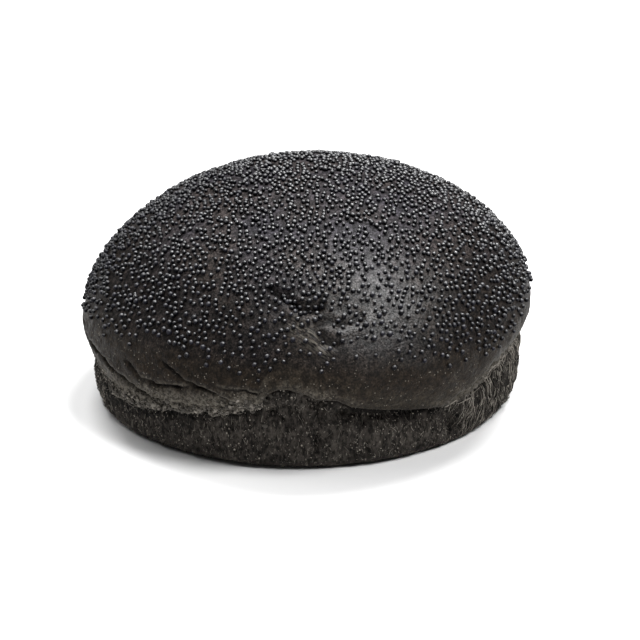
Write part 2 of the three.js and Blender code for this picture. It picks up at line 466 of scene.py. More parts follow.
def uneven_shapes(
    stencil: Stencil, axes: Array, size: Array, jitter: float, rng: np.random.Generator
) -> Array:
    """Copies of a stencil, each round its own middle, with their points moved in or out a little by chance.

    Args:
        stencil: the small thing.
        axes: for each copy, a matrix whose rows are its three axes.
        size: how many times larger each copy is than the stencil.
        jitter: how far the points move, as a share of their distance from the middle.
        rng: the random source.

    Returns:
        For each copy, its points.
    """
    shapes = np.einsum("vk,nkx->nvx", stencil.points, axes)
    return shapes * (1 + rng.normal(0, jitter, shapes.shape[:2]))[..., None] * size[:, None, None]


def place_on_bun(piece: bpy.types.Object, finish: "Finish") -> None:
    """Gives a piece its finish, hangs it on the root and hides the solid's bun in its place.

    Args:
        piece: the piece.
        finish: its finish.
    """
    piece.data.materials.clear()
    piece.data.materials.append(finish.material())
    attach(piece, "root")
    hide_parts("bun")
    triangles = sum(len(face.vertices) - 2 for face in piece.data.polygons)
    log.info("%s: %d triangles", piece.name, triangles)


# Finishes


class NodeSketch:
    """Adds and links the nodes of one material."""

    def __init__(self, name: str) -> None:
        """Starts an empty material with its shader and its place on the object."""
        self.material = bpy.data.materials.new(name)
        self.material.use_nodes = True
        self.tree = self.material.node_tree
        self.shader = self.tree.nodes["Principled BSDF"]
        self.place = self.node("ShaderNodeTexCoord").outputs["Object"]

    def node(
        self, kind: str, inputs: dict[str, object] | None = None, **settings: object
    ) -> bpy.types.Node:
        """Adds a node.

        Args:
            kind: its type.
            inputs: an output or a plain value for each of some inputs, by name.
            settings: the node's own settings, by name.

        Returns:
            The node.
        """
        made = self.tree.nodes.new(kind)
        for name, value in settings.items():
            setattr(made, name, value)
        for name, value in (inputs or {}).items():
            self.feed(made.inputs[name], value)
        return made

    def feed(self, socket: Socket, value: object) -> None:
        """Links an output to a socket, or sets the socket to a plain value or colour."""
        if isinstance(value, Socket):
            self.tree.links.new(value, socket)
        else:
            socket.default_value = (*value, 1.0) if socket.type == "RGBA" else value

    def attribute(self, name: str) -> Socket:
        """The value of one of the piece's own masks."""
        return self.node("ShaderNodeAttribute", attribute_name=name).outputs["Fac"]

    def stretched(self, stretch: Triple, turn: Triple = (0, 0, 0)) -> Socket:
        """The place on the object, in a pattern stretched and turned about x, y and z."""
        inputs = {"Vector": self.place, "Rotation": turn, "Scale": stretch}
        return self.node("ShaderNodeMapping", inputs, vector_type="TEXTURE").outputs["Vector"]

    def noise(
        self,
        wave: float,
        detail: float = 3,
        stretch: Triple = (1, 1, 1),
        rough: float = 0.5,
        turn: Triple = (0, 0, 0),
    ) -> Socket:
        """Noise that swells about once in a wave of so many millimetres.

        Args:
            wave: the distance between swellings.
            detail: how many finer noises are added.
            stretch: how many times longer the pattern is along x, y and z.
            rough: how strong the finer noises are.
            turn: how the stretched pattern is turned about x, y and z, in radians.

        Returns:
            The socket of a value between 0 and 1.
        """
        inputs = {"Scale": 1 / (wave * MM), "Detail": detail, "Roughness": rough}
        inputs["Vector"] = self.stretched(stretch, turn)
        return self.node("ShaderNodeTexNoise", inputs).outputs["Fac"]

    def cells(self, wave: float, stretch: Triple = (1, 1, 1)) -> Socket:
        """The distance to the nearest of points strewn so many millimetres apart, as a share of that."""
        inputs = {"Scale": 1 / (wave * MM), "Vector": self.stretched(stretch)}
        return self.node("ShaderNodeTexVoronoi", inputs).outputs["Distance"]

    def remap(self, value: Value, low: Value, high: Value, to_low: Value = 0, to_high: Value = 1) -> Socket:
        """Carries the range from low to high smoothly to another range, and holds its ends."""
        made = self.node("ShaderNodeMapRange", interpolation_type="SMOOTHSTEP")
        for socket, given in zip(made.inputs, (value, low, high, to_low, to_high)):
            self.feed(socket, given)
        return made.outputs["Result"]

    def math(self, operation: str, first: Value, second: Value) -> Socket:
        """One sum of two values."""
        made = self.node("ShaderNodeMath", operation=operation)
        self.feed(made.inputs[0], first)
        self.feed(made.inputs[1], second)
        return made.outputs["Value"]

    def times(self, product: Value, *factors: Value) -> Socket:
        """The product of two or more values."""
        for factor in factors:
            product = self.math("MULTIPLY", product, factor)
        return product

    def mix(self, share: Value, first: Colour, second: Colour) -> Socket:
        """Lays one colour over another.

        Args:
            share: how much of the second colour shows, from 0 to 1.
            first: the colour below.
            second: the colour laid over it.

        Returns:
            The socket of the mixed colour.
        """
        made = self.node("ShaderNodeMix", {"Factor": share}, data_type="RGBA")
        below, above = (socket for socket in made.inputs if socket.type == "RGBA")
        self.feed(below, first)
        self.feed(above, second)
        return next(socket for socket in made.outputs if socket.type == "RGBA")

    def shaded(self, colour: Socket, share: Value) -> Socket:
        """The colour made darker or lighter by a share."""
        scaled = self.node("ShaderNodeVectorMath", {"Scale": share}, operation="SCALE")
        self.feed(scaled.inputs[0], colour)
        return scaled.outputs["Vector"]

    def bump(self, height: Value, depth: float, under: Socket | None = None) -> Socket:
        """Adds fine relief.

        Args:
            height: the relief's height, from 0 to 1.
            depth: how many millimetres a height of 1 is.
            under: the relief under it.

        Returns:
            The socket of the new normal.
        """
        inputs = {"Strength": 1.0, "Distance": depth * MM, "Height": height}
        if under is not None:
            inputs["Normal"] = under
        return self.node("ShaderNodeBump", inputs).outputs["Normal"]

    def finish(
        self, colour: Colour, roughness: Value, normal: Socket | None = None, **constants: float
    ) -> bpy.types.Material:
        """Links the shader and sets the values that are the same all over.

        Args:
            colour: the colour.
            roughness: the roughness.
            normal: the relief, where there is any.
            constants: other inputs of the shader, by name with "_" for a space.

        Returns:
            The material.
        """
        self.feed(self.shader.inputs["Base Color"], colour)
        self.feed(self.shader.inputs["Roughness"], roughness)
        if normal is not None:
            self.feed(self.shader.inputs["Normal"], normal)
        for name, value in constants.items():
            self.shader.inputs[name.replace("_", " ")].default_value = value
        return self.material


@dataclass(frozen=True)
class Finish:
    """A surface finish; each kind of surface has its own."""

    name: str

    def material(self) -> bpy.types.Material:
        """The finish as a material, made when it is first asked for."""
        return bpy.data.materials.get(self.name) or self.build()

    def build(self) -> bpy.types.Material:
        """Makes the material."""
        raise NotImplementedError


@dataclass(frozen=True)
class CrustFinish(Finish):
    """Charcoal-black baked crust: satin and leathery, browner low down and dusty where torn, with painted
    light that makes it paler on top and painted shade in its gaps and folds.
    """

    name: str = "baked_crust"
    charcoal: Triple = (0.0129, 0.0103, 0.0097)
    slate: Triple = (0.0113, 0.0103, 0.0125)
    brown: Triple = (0.0137, 0.0099, 0.0067)
    olive: Triple = (0.0216, 0.0173, 0.0122)
    torn: Triple = (0.160, 0.145, 0.121)
    dust: Triple = (0.21, 0.19, 0.16)
    # The near-black of the painted shade in gaps and folds
    painted_gap_shade: Triple = (0.0025, 0.002, 0.002)

    def build(self) -> bpy.types.Material:
        """Makes the material."""
        s = NodeSketch(self.name)
        low, painted_gap_shade = s.attribute("low"), s.attribute("painted_gap_shade")
        grain = s.noise(0.5, 3, rough=0.7)
        torn = self.torn_share(s)
        colour = s.mix(torn, self.baked(s, low, grain), self.torn)
        colour = s.mix(self.specks(s, low), colour, self.dust)
        # Painted shade: near-black in the gaps under the layers' edges, in sharp folds and pockets, and on
        # the crown's hidden inner side.
        colour = s.mix(s.times(painted_gap_shade, 0.95), colour, self.painted_gap_shade)
        roughness = s.remap(s.noise(4, 3), 0.3, 0.7, 0.5, 0.66)
        relief = s.bump(s.noise(3.2, 4, rough=0.6), 0.3)
        relief = s.bump(s.noise(0.9, 3, rough=0.6), 0.25, relief)
        relief = s.bump(grain, 0.15, relief)
        relief = s.bump(s.times(s.noise(0.5, 4, rough=0.7), s.attribute("torn")), 0.5, relief)
        bare = s.math("SUBTRACT", 1.0, s.math("MAXIMUM", s.math("MAXIMUM", torn, low), painted_gap_shade))
        sheen = s.math("ADD", s.attribute("sheen"), 0.05)
        patchy = s.remap(s.noise(2.2, 3), 0.3, 0.65, 0.55, 1.0)
        patchy = s.times(patchy, s.remap(grain, 0.36, 0.62, 0.3, 1.0))
        self.coat(s, s.times(bare, sheen, patchy), relief)
        return s.finish(colour, roughness, relief, Specular_IOR_Level=0.08)

    def baked(self, s: NodeSketch, low: Socket, grain: Socket) -> Socket:
        """The colour of the whole crust, bluer and paler towards the top as painted light.

        Args:
            s: the material's nodes.
            low: the mask of the lower crust.
            grain: the crust's finest noise.

        Returns:
            The socket of the colour.
        """
        top = s.attribute("top")
        patches = s.remap(s.noise(14, 3), 0.38, 0.62)
        # Painted light: bluer towards the top.
        colour = s.mix(top, self.charcoal, self.slate)
        colour = s.mix(s.math("MAXIMUM", s.times(patches, 0.5), low), colour, self.brown)
        worn = s.times(s.attribute("worn"), s.remap(s.noise(5, 3), 0.3, 0.55, 0.35, 1.0))
        colour = s.mix(worn, colour, self.olive)
        # Painted light: much paler towards the top.
        colour = s.shaded(colour, s.remap(top, 0, 1, 0.74, 1.8))
        mottle = s.noise(1.6, 4, rough=0.65)
        colour = s.shaded(colour, s.remap(mottle, 0.38, 0.63, s.remap(low, 0, 1, 0.35, 0.6), 1.55))
        faintest, strongest = s.remap(low, 0, 1, 0.2, 0.55), s.remap(low, 0, 1, 2.0, 1.5)
        return s.shaded(colour, s.remap(grain, 0.39, 0.62, faintest, strongest))

    def torn_share(self, s: NodeSketch) -> Socket:
        """How far torn crumb shows: at the frayed rim, and in the streak beside the upper folds."""
        frayed = s.remap(s.noise(0.8, 4, rough=0.7), 0.38, 0.62)
        frayed = s.times(s.attribute("torn"), s.math("ADD", s.times(frayed, 0.88), 0.12))
        fibres = s.remap(s.noise(0.42, 2, (8, 1, 1), turn=(0, 0.494, -0.411)), 0.46, 0.6)
        return s.math("MAXIMUM", frayed, s.times(s.attribute("streaks"), fibres, 0.5))

    def specks(self, s: NodeSketch, low: Socket) -> Socket:
        """Where pale specks of dust lie: here and there, and most of them low down."""
        strewn = s.times(s.remap(s.cells(0.8), 0.24, 0.08), s.remap(s.noise(2.5, 4, rough=0.7), 0.46, 0.6))
        return s.times(strewn, s.math("ADD", s.times(low, 0.75), 0.2))

    def coat(self, s: NodeSketch, weight: Socket, relief: Socket) -> None:
        """Adds the satin skin that the crust has where it baked hardest."""
        s.feed(s.shader.inputs["Coat Weight"], weight)
        s.feed(s.shader.inputs["Coat Normal"], relief)
        s.shader.inputs["Coat Roughness"].default_value = 0.38
        s.shader.inputs["Coat IOR"].default_value = 1.62


@dataclass(frozen=True)
class TornFinish(Finish):
    """Matt torn crumb with upright fibres that catch the light, with painted shade under the crown's rim
    and among the strands.
    """

    name: str = "torn_crumb"
    crumb: Triple = (0.0225, 0.0195, 0.0170)
    pale: Triple = (0.072, 0.064, 0.055)
    fibre: Triple = (0.21, 0.19, 0.165)

    def build(self) -> bpy.types.Material:
        """Makes the material."""
        s = NodeSketch(self.name)
        strands = s.attribute("strands")
        patches = s.remap(s.noise(6, 4), 0.35, 0.7)
        colour = s.mix(s.times(patches, 0.4), self.crumb, self.pale)
        mottle = s.remap(s.noise(1.1, 4, (1, 1, 2), rough=0.7), 0.38, 0.62, 0.25, 1.7)
        # Painted shade between the fibres: the crumb is darker where it is drawn into strands.
        colour = s.shaded(colour, s.math("SUBTRACT", mottle, s.times(strands, 0.6)))
        streaks = s.remap(s.noise(0.5, 3, (1, 1, 5), rough=0.6), 0.53, 0.7)
        colour = s.mix(s.times(streaks, s.math("ADD", s.times(strands, 0.25), 0.5)), colour, self.pale)
        glints = s.remap(s.cells(0.7, (1, 1, 2.2)), 0.28, 0.1)
        glints = s.times(glints, s.remap(s.noise(1.6, 3), 0.45, 0.58), 0.75)
        colour = s.mix(glints, colour, self.fibre)
        # Painted shade under the crown's rim
        colour = s.shaded(colour, s.remap(s.attribute("painted_rim_shade"), 0, 1, 1.0, 0.12))
        relief = s.bump(s.noise(1.4, 4, (1, 1, 2.2), rough=0.7), 0.65)
        relief = s.bump(s.noise(0.4, 3, (1, 1, 3), rough=0.6), 0.35, relief)
        return s.finish(colour, 0.92, relief, Specular_IOR_Level=0.12)


@dataclass(frozen=True)
class SeedFinish(Finish):
    """Blue-black poppy seeds, some a little greyer, shiny on their upper side and dull below."""

    name: str = "poppy_seed"
    black: Triple = (0.0032, 0.0032, 0.0048)
    grey: Triple = (0.010, 0.010, 0.0150)

    def build(self) -> bpy.types.Material:
        """Makes the material."""
        s = NodeSketch(self.name)
        tint = s.attribute("tint")
        colour = s.mix(s.remap(tint, 0.3, 1.0), self.black, self.grey)
        pitted = s.bump(s.noise(0.3, 2), 0.07)
        s.feed(s.shader.inputs["Specular IOR Level"], s.remap(s.attribute("crest"), 0, 1, 0.04, 1.0))
        return s.finish(colour, s.remap(tint, 0, 1, 0.4, 0.5), pitted, IOR=1.6)


@dataclass(frozen=True)
class FrayFinish(Finish):
    """Small torn bits: flakes, strands and crumbs, from dark to pale."""

    name: str = "frayed_bits"
    dark: Triple = (0.0120, 0.0104, 0.0090)
    pale: Triple = (0.40, 0.365, 0.315)

    def build(self) -> bpy.types.Material:
        """Makes the material."""
        s = NodeSketch(self.name)
        colour = s.mix(s.attribute("tint"), self.dark, self.pale)
        relief = s.bump(s.noise(0.35, 3), 0.15)
        return s.finish(colour, 0.85, relief, Specular_IOR_Level=0.2)


# The crown


@dataclass(frozen=True)
class Crease:
    """A fold, a seam or the edge of a crust layer that overlaps the one below it like a shingle.

    It has a path as bearings and heights, a depth, and a half width. A layer's width is how far down the
    step under its edge fades out.
    """

    bearings: tuple[float, ...]
    heights: tuple[float, ...]
    depth: float
    width: float

    def path(self, surface: Callable[[Array, Array], Array]) -> Array:
        """Its path on a surface that gives a point for a bearing and a height."""
        return surface(np.array(self.bearings, float), np.array(self.heights, float))


@dataclass
class Crown:
    """The crown: a dome of baked crust with its rolled rim, folded layers and creases.

    The rows of points run from the hidden inner side over the lip and the crust to the top, and lie closer
    together below the height dense_to. The sheen has its middle's bearing and height, and its half width.
    """

    form: BunForm
    rim: Array | None = None
    columns: int = 640
    lip_rows: int = 9
    rim_rows: int = 56
    dome_rows: int = 70
    dense_to: float = 28.0
    inner_top: float = 28.0
    inner_shares: tuple[float, ...] = (0.0, 0.6, 0.86, 0.9)
    inner_rises: tuple[float, ...] = (8.0, 5.0, 2.0)
    lip_turn: float = 150.0
    tear: float = 1.3
    sharp_below: float = 1.0
    sheen: tuple[float, float, float] = (22.0, 38.6, 10.5)
    streak: Crease = Crease((-4.2, 4.2), (36.6, 32.4), 0.0, 1.3)
    layers: tuple[Crease, ...] = (
        Crease((-88, -75, -62, -54, -46, -36), (20.6, 19.7, 18.3, 17.0, 15.7, 14.6), 1.3, 4.6),
        Crease((-54, -49, -45.7, -41, -35, -28), (22.4, 21.2, 20.1, 19.4, 20.3, 22.0), 0.9, 2.6),
        Crease(
            (-42, -37, -33.5, -29.5, -25.7, -21.6, -15),
            (25.8, 24.1, 22.9, 22.0, 21.4, 20.2, 18.6),
            0.9,
            3.4,
        ),
        Crease((-25, -19, -14.6, -10.6, -6), (22.4, 22.6, 22.8, 21.9, 23.6), 0.6, 2.0),
        Crease((96, 112, 130), (20.5, 19.5, 20.3), 0.7, 3.0),
        Crease((150, 168, 190), (22.0, 20.4, 21.5), 0.8, 3.2),
        Crease((-140, -122, -104), (17.6, 18.6, 18.0), 0.8, 3.0),
    )
    creases: tuple[Crease, ...] = (
        Crease((-12.8, -10.7, -8, -6.3, -4.3), (42.6, 42.2, 41.7, 41.0, 40.0), 1.15, 0.45),
        Crease((-4.3, -1.3, 1.1, 2.9), (40.0, 39.6, 39.5, 39.9), 0.85, 0.7),
        Crease((2.5, 4.1, 7.0), (35.7, 33.8, 33.2), 0.9, 0.55),
        Crease((3, 8, 12, 14.5), (37.4, 37.0, 37.1, 37.8), 0.6, 0.9),
        Crease((-10, -3, 4, 14), (41.6, 39.4, 38.6, 39.0), 0.85, 2.6),
        Crease((-60, -48, -36), (35, 36, 37.5), 0.8, 6.0),
        Crease((52, 62, 72), (32, 33, 35), 0.5, 4.0),
        Crease((130, 150, 166), (38, 41, 40), 0.8, 6.0),
        Crease((146, 158), (35, 33), 0.7, 0.8),
    )

    def heights(self, bearing: Array) -> Array:
        """Heights of the rows of crust above the lip, by row and then by column."""
        low = self.form.rim_height(bearing) + self.form.lip * self.lip_share(bearing)
        climb = np.linspace(0, 1, self.rim_rows, endpoint=False)[:, None]
        rim = low + (self.dense_to - low) * climb
        level = self.form.level(bearing)
        start = np.arcsin((self.dense_to - level) / (self.form.top - level))
        turn = start + (math.pi / 2 - start) * np.linspace(0, 1, self.dome_rows, endpoint=False)[:, None]
        dome = level + (self.form.top - level) * np.sin(turn)
        return np.concatenate([rim, dome])

    def ragged(self, bearing: Array) -> Array:
        """How torn the rim is at a bearing, from 0 to 1."""
        left = smooth(-80, -62, bearing) * (1 - smooth(-13, -9, bearing))
        right = smooth(28, 44, bearing) * (1 - smooth(88, 100, bearing)) * 0.45
        back = 0.5 * smooth(0.1, 0.6, sine(bearing * 3 + 30))
        return np.maximum(left, np.maximum(right, back * smooth(95, 112, np.abs(bearing))))

    def lip_share(self, bearing: Array) -> Array:
        """How thick the lip is at a bearing, as a share of a whole one. It is thin where it is torn."""
        return 1 - 0.45 * self.ragged(bearing)

    def layer_relief(self, bearing: Array, height: Array, points: Array) -> tuple[Array, Array, Array]:
        """The steps under the layers' edges.

        Args:
            bearing: the bearing of each point, from -180 to 180.
            height: its height.
            points: the points themselves.

        Returns:
            How far the crust stands out, the painted shade in the gap under each edge, and how worn the
            edge over it.
        """
        relief, painted_gap_shade, worn = (np.zeros(height.shape) for _ in range(3))
        wander = 0.5 * dough_noise(points, 5, 31) + 0.4 * dough_noise(points, 1.6, 32)
        broken = np.clip(0.85 + 0.9 * dough_noise(points, 3.2, 33), 0.15, 1.3)
        for layer in self.layers:
            round_to = turn_between(bearing, layer.bearings[0]) + layer.bearings[0]
            edge = np.interp(round_to, layer.bearings, layer.heights) + wander
            first, last = layer.bearings[0], layer.bearings[-1]
            ends = smooth(first, first + 5, round_to) * (1 - smooth(last - 5, last, round_to))
            below = edge - height
            fall = smooth(0, 0.35, below) * np.clip(1 - below / layer.width, 0, 1)
            groove = broken * (bell(below - 0.25, 0.22) + 0.4 * bell(below, 0.6))
            bulge = 0.3 * bell(below - 1.5, 0.7) + 0.15 * bell(below + 1.0, 0.6)
            relief += ends * (bulge - layer.depth * (0.35 * fall + 0.7 * groove))
            # Painted shade in the gap under the layer's edge
            painted_gap_shade = np.maximum(painted_gap_shade, ends * broken * bell(below - 0.28, 0.22))
            worn = np.maximum(worn, ends * bell(below + 0.3, 0.28))
        return relief, np.clip(painted_gap_shade, 0, 1), worn

    def crease_relief(self, points: Array) -> tuple[Array, Array]:
        """The folds pressed into the dome.

        Args:
            points: the points on the smooth form.

        Returns:
            How far the crust stands out, and the painted shade in its sharp folds.
        """
        relief, painted_gap_shade = np.zeros(points.shape[:-1]), np.zeros(points.shape[:-1])
        wandering = points + 0.5 * dough_noise(points, 3, 5)[..., None]
        for crease in self.creases:
            away = distance_to_path(wandering, crease.path(self.form.crust))
            relief -= crease.depth * bell(away, crease.width)
            if crease.width < self.sharp_below:
                relief += 0.4 * crease.depth * bell(away - 1.9, 0.9)
                # Painted shade along a sharp fold
                painted_gap_shade = np.maximum(painted_gap_shade, 0.8 * bell(away, 0.5))
        return relief, painted_gap_shade

    def relief(self, bearing: Array, height: Array, points: Array) -> tuple[Array, dict[str, Array]]:
        """How far the crust stands out from its smooth form, and the masks for its finish.

        Args:
            bearing: the bearing of each point, from -180 to 180.
            height: its height.
            points: the points on the smooth form.

        Returns:
            The relief in millimetres, and masks by name, among them painted shade and the top where light
            is painted.
        """
        relief, painted_gap_shade, worn = self.layer_relief(bearing, height, points)
        creased, dark = self.crease_relief(points)
        low_edge = 25.5 + 2.2 * cosine(bearing)
        low = smooth(low_edge + 5, low_edge - 3, height + 2 * dough_noise(points, 9, 12))
        relief += creased + 0.4 * dough_noise(points, 22, 1) + 0.16 * dough_noise(points, 8, 2)
        relief += (0.05 + 0.09 * low) * layered_noise(points, 2.4, 3)
        above_rim = height - self.form.rim_height(bearing)
        ragged = self.ragged(bearing)
        reach = 5.0 + 3.5 * bell(turn_between(bearing, -38), 20)
        frayed = smooth(reach, 0.8, above_rim + 1.2 * dough_noise(points, 3, 7)) * ragged
        mouth_edge = smooth(3.2, 0.4, above_rim + dough_noise(points, 2, 6))
        frayed = np.maximum(frayed, 0.6 * mouth_edge * bell(turn_between(bearing, 2), 7))
        pockets = smooth(0.1, 0.4, dough_noise(points * [1, 1, 1.4], 2.0, 10))
        pockets = pockets * ragged * bell(above_rim - 1.0, 1.0)
        tufts = 0.7 * layered_noise(points, 1.7, 8) + 0.35 * dough_noise(points * [1, 1, 0.6], 0.9, 9)
        relief += frayed * tufts - pockets
        # Painted shade: the folds' and pockets' shade joins the gaps' shade.
        painted_gap_shade = np.maximum(np.maximum(painted_gap_shade, dark), 0.85 * pockets)
        away = distance_to_path(points, self.streak.path(self.form.crust))
        sheen_bearing, sheen_height, sheen_reach = self.sheen
        sheen = points - self.form.crust(np.array(sheen_bearing), np.array(sheen_height))
        masks = {
            "torn": np.clip(np.maximum(frayed, 0.5 * worn * smooth(14, 3, above_rim)), 0, 1),
            "painted_gap_shade": np.clip(painted_gap_shade, 0, 1),
            "low": low,
            # top: where the finish paints light, on the upper crown
            "top": smooth(34, 52, height),
            "worn": smooth(8, 2, above_rim + 2 * dough_noise(points, 7, 13)),
            "streaks": bell(away, self.streak.width),
            "sheen": bell(np.linalg.norm(sheen, axis=-1), sheen_reach),
        }
        return relief, masks

    def build(self) -> bpy.types.Object:
        """Makes the crown as one closed shell of crust."""
        form = self.form
        bearing = all_round(self.columns)
        height = self.heights(bearing)
        smooth_crust = form.crust(bearing + 0 * height, height)
        relief, masks = self.relief(bearing + 0 * height, height, smooth_crust)
        normals = grid_normals(smooth_crust)
        crust = smooth_crust + normals * relief[..., None]
        edge = smooth_crust[:1]
        tear = 0.55 * dough_noise(edge, 2.2, 21) + 0.35 * dough_noise(edge, 0.9, 22)
        tear = tear * self.ragged(bearing) + 0.12 * dough_noise(edge, 4, 23)
        crust[..., 2] += self.tear * tear * smooth(3.5, 0, height - height[:1])
        lip = self.lip(bearing, crust[0], normals[0])
        self.rim = lip[-2]
        inner = np.stack([crust[0] * [share, share, 0] for share in self.inner_shares])
        inner[0, :, 2] = self.inner_top
        inner[1:, :, 2] = form.rim_height(bearing) + np.array(self.inner_rises)[:, None]
        pole = form.crust(np.zeros(1), np.array([form.top])) + [0, 0, relief[-1].mean()]
        grid = np.concatenate([inner, lip, crust, np.tile(pole, (self.columns, 1))[None]])
        ground = len(inner) + len(lip)
        full = {
            name: np.concatenate([np.repeat(mask[:1], ground, axis=0), mask, mask[-1:]])
            for name, mask in masks.items()
        }
        # Painted shade: the hidden inner side and the inner half of the rolled lip are painted fully dark,
        # the outer half of the lip lightly.
        full["painted_gap_shade"][:ground] = 1.0
        full["painted_gap_shade"][ground - self.lip_rows // 2 : ground] = 0.2
        return shell_from_grid("crown_crust", grid, full)

    def lip(self, bearing: Array, edge: Array, outward: Array) -> Array:
        """The rows of the rolled lip, from its hidden inner end to the lowest row of crust.

        Args:
            bearing: the bearing of each column.
            edge: the lowest row of crust.
            outward: the direction out of the crust there.

        Returns:
            The points, by row and then by column.
        """
        level_out = outward * [1, 1, 0]
        level_out /= np.linalg.norm(level_out, axis=-1, keepdims=True)
        radius = (self.form.lip * self.lip_share(bearing)[0])[:, None]
        rows = []
        for turn in np.linspace(-self.lip_turn, 0, self.lip_rows, endpoint=False):
            angle = math.radians(turn)
            inward = level_out * radius * (1 - math.cos(angle))
            rows.append(edge - inward + np.array([0, 0, 1]) * radius * math.sin(angle))
        return np.stack(rows)


# The torn side wall


@dataclass
class TornSide:
    """The side wall under the crown: torn crumb with upright fibres, a rounded foot and a flat base."""

    form: BunForm
    columns: int = 880
    under_shares: tuple[float, ...] = (0.0, 0.35, 0.7, 0.93)
    foot_rows: int = 10
    wall_rows: int = 84
    inner_shares: tuple[float, ...] = (0.9, 0.6, 0.3, 0.0)
    seams: tuple[Crease, ...] = (
        Crease((4.5, 3.5, 3.8, 3.4, 2.9), (20.5, 16.5, 14, 11, 6.5), 1.3, 0.45),
        Crease((10.5, 10.9, 10.6), (15, 12, 8.5), 0.8, 0.4),
        Crease((16.2, 16.6, 16.8), (12, 8, 4), 0.7, 0.4),
        Crease((-9, -7.5, -6), (16, 14.6, 13.8), 1.0, 0.6),
        Crease((9, 16, 23, 30), (15.2, 13.6, 13.2, 12.4), 1.5, 1.2),
        Crease((42.5, 44, 45), (9, 6.5, 4), 2.0, 1.6),
        Crease((54, 60), (14.5, 13.8), 1.2, 1.6),
        Crease((-34, -33, -35), (12, 8, 5), 0.5, 0.5),
        Crease((112, 114, 111), (15, 10, 5), 0.8, 0.7),
        Crease((150, 148), (14, 6), 0.8, 0.6),
        Crease((-160, -158), (13, 6), 0.9, 0.8),
        Crease((-118, -121), (12, 6), 0.7, 0.6),
    )
    ridges: tuple[Crease, ...] = (
        Crease((4.1, 7.3, 10.6), (6.5, 8.5, 10.0), 0.9, 0.5),
        Crease((-9, -7, -4), (19, 20.4, 20.0), 0.9, 1.3),
    )

    def strands(self, bearing: Array) -> Array:
        """How strongly the crumb is drawn into upright strands at a bearing, from 0 to 1."""
        right = smooth(38, 52, bearing) * (1 - smooth(96, 110, bearing))
        back = 0.7 * smooth(0.2, 0.8, sine(bearing * 3 + 10))
        left = 0.15 * bell(turn_between(bearing, -72), 9)
        return np.maximum(right, np.maximum(back * smooth(100, 118, np.abs(bearing)), left))

    def face(self, bearing: Array, height: Array) -> Array:
        """Points of the smooth side and foot.

        Args:
            bearing: the bearing of each point.
            height: its height.

        Returns:
            The points, with x, y and z on the last axis.
        """
        form = self.form
        groove = form.rim_height(bearing) + form.lip
        climb = np.clip((height - form.foot_round) / (groove - form.foot_round), 0, 1)
        low = np.clip(form.foot_round - height, 0, form.foot_round)
        foot = form.foot_round - np.sqrt(form.foot_round**2 - low**2)
        undercut = (form.groove + swelling(form.undercuts, bearing)) * climb**5
        inset = undercut - form.bulge * np.sin(climb * math.pi) + foot
        return form.wall(bearing, height, inset)

    def torn_face(self, bearing: Array, height: Array) -> tuple[Array, Array]:
        """Points of the torn side at bearings and heights, and the level directions out of it."""
        points = self.face(bearing, height)
        relief, _ = self.relief(bearing, points)
        outward = around(bearing, 1, 0 * bearing)
        return points + outward * (relief * smooth(0.2, 3.5, height))[..., None], outward

    def build(self) -> bpy.types.Object:
        """Makes the side wall and foot as one closed body."""
        form = self.form
        bearing = all_round(self.columns)
        turn = np.linspace(0, math.pi / 2, self.foot_rows)[:, None]
        climb = np.linspace(0, 1, self.wall_rows + 1)[1:, None]
        groove = form.rim_height(bearing) + form.lip
        foot = form.foot_round * (1 - np.cos(turn)) + 0 * bearing
        height = np.concatenate([foot, form.foot_round + (groove - form.foot_round) * climb])
        skin = self.face(bearing + 0 * height, height)
        under = np.stack([skin[0] * share for share in self.under_shares])
        relief, strands = self.relief(bearing + 0 * height, skin)
        skin = skin + grid_normals(skin) * (relief * smooth(0.2, 3.5, height))[..., None]
        inner = np.stack([skin[-1] * [share, share, 1] for share in self.inner_shares])
        inner[-1, :, 2] = inner[-1, :, 2].mean()
        under[..., 2] = 0
        grid = np.concatenate([under, skin, inner])
        # Painted shade under the crown's rim: darkest just under the groove, reaching further down on the
        # left, and weaker among the strands.
        shaded = groove - height + 1.1 * dough_noise(skin, 2.5, 49)
        left = bell(turn_between(bearing, -62), 17)
        painted_rim_shade = smooth(5.9 + 3.5 * left, 2.6 + 1.2 * left, shaded) * (1 - 0.3 * strands)
        pad = ((len(under), len(inner)), (0, 0))
        masks = {"strands": np.pad(strands, pad, mode="edge"), "painted_rim_shade": np.pad(painted_rim_shade, pad, mode="edge")}
        return shell_from_grid("torn_side", grid, masks)

    def relief(self, bearing: Array, points: Array) -> tuple[Array, Array]:
        """How far the torn crumb stands out from the smooth wall, and where it is drawn into strands.

        Args:
            bearing: the bearing of each point, from -180 to 180.
            points: the points on the smooth form.

        Returns:
            The relief in millimetres, and the mask of the strands.
        """
        strands = self.strands(bearing)
        lean = 0.12 * dough_noise(points, 16, 40)[..., None] * points[..., 2:] * np.array([1.0, 0, 0])
        drawn = (points + lean) * [1, 1, 0.16]
        relief = 0.35 * dough_noise(points, 9, 41) + 0.24 * layered_noise(points * [1, 1, 0.6], 3.2, 42)
        relief += (0.22 + 0.24 * strands) * layered_noise(drawn, 1.5, 43, 2)
        relief += 0.27 * (1 - 0.5 * strands) * dough_noise(points * [1, 1, 0.8], 0.85, 46)
        gaps = np.maximum(0, -layered_noise(drawn * [1, 1, 0.6], 1.1, 47, 2) - 0.1)
        relief -= 1.1 * strands * gaps
        in_mouth = smooth(0.5, 3, self.form.rim_height(bearing) - self.form.closed_rim(bearing))
        in_mouth = in_mouth * smooth(14.5, 17, points[..., 2])
        relief += 0.55 * in_mouth * layered_noise(points, 2.4, 48)
        pits = np.maximum(0, layered_noise(points * [1, 1, 0.7], 2.1, 44) - 0.35)
        relief -= 0.9 * pits * (1 - 0.5 * strands)
        for lines, way in ((self.seams, -1), (self.ridges, 1)):
            for line in lines:
                away = distance_to_path(points, line.path(self.form.wall))
                relief += way * line.depth * bell(away, line.width)
        return relief, strands


# Seeds


